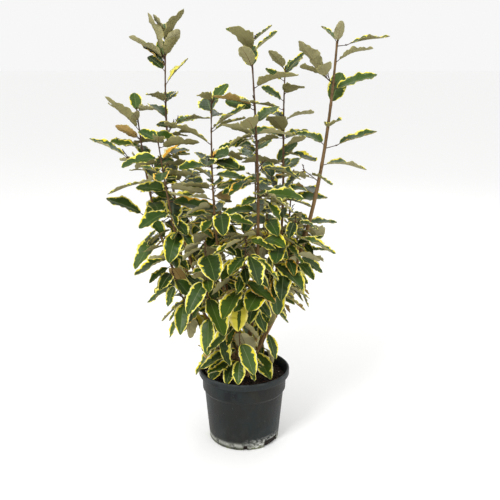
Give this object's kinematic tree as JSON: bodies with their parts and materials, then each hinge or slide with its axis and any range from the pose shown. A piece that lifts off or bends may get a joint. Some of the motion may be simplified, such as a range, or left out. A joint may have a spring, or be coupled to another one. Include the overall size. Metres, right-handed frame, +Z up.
{
  "type": "potted elaeagnus",
  "caption": "Upright evergreen shrub with variegated leaves on slender stems, standing in a round black nursery pot of compost; a patio plant that rests on its pot's flat underside.",
  "frame": {"origin": "centre of the pot's flat underside, on the ground", "axes": "+Z up along the pot's axis to the crown's top, -Y towards the front of the plant, +X to its right seen from the front"},
  "size_m": [0.6748, 0.4833, 1.0333],
  "materials": {
    "pot_plastic": "matt near-black plastic with a slight sheen",
    "compost": "rough moist compost",
    "bark": "matt thin bark",
    "foliage": "satin leaves, green with yellow margins"
  },
  "bodies": {
    "root": {"pot": "pot_plastic", "soil": "compost", "trunk": "bark", "left_tall_lower_stem": "bark", "left_tall_upper_stem": "bark", "far_left_lower_stem": "bark", "far_left_upper_stem": "bark", "left_front_lower_stem": "bark", "left_front_upper_stem": "bark", "thin_front_lower_stem": "bark", "thin_front_upper_stem": "bark", "centre_lower_stem": "bark", "centre_upper_stem": "bark", "right_centre_lower_stem": "bark", "right_centre_upper_stem": "bark", "right_lower_stem": "bark", "right_upper_stem": "bark", "back_left_lower_stem": "bark", "back_left_upper_stem": "bark", "back_lower_stem": "bark", "back_upper_stem": "bark", "back_right_lower_stem": "bark", "back_right_upper_stem": "bark", "left_tall_top_leaves": "foliage", "far_left_top_leaves": "foliage", "left_front_top_leaves": "foliage", "thin_front_top_leaves": "foliage", "centre_top_leaves": "foliage", "right_centre_top_leaves": "foliage", "right_top_leaves": "foliage", "back_left_top_leaves": "foliage", "back_top_leaves": "foliage", "back_right_top_leaves": "foliage", "left_tall_side_leaves": "foliage", "far_left_side_leaves": "foliage", "left_front_side_leaves": "foliage", "thin_front_side_leaves": "foliage", "centre_side_leaves": "foliage", "right_centre_side_leaves": "foliage", "right_side_leaves": "foliage", "back_left_side_leaves": "foliage", "back_side_leaves": "foliage", "back_right_side_leaves": "foliage", "low_front_leaves": "foliage", "low_front_left_leaves": "foliage", "low_left_leaves": "foliage", "low_back_left_leaves": "foliage", "low_back_right_leaves": "foliage", "low_right_leaves": "foliage"}
  },
  "joints": []
}
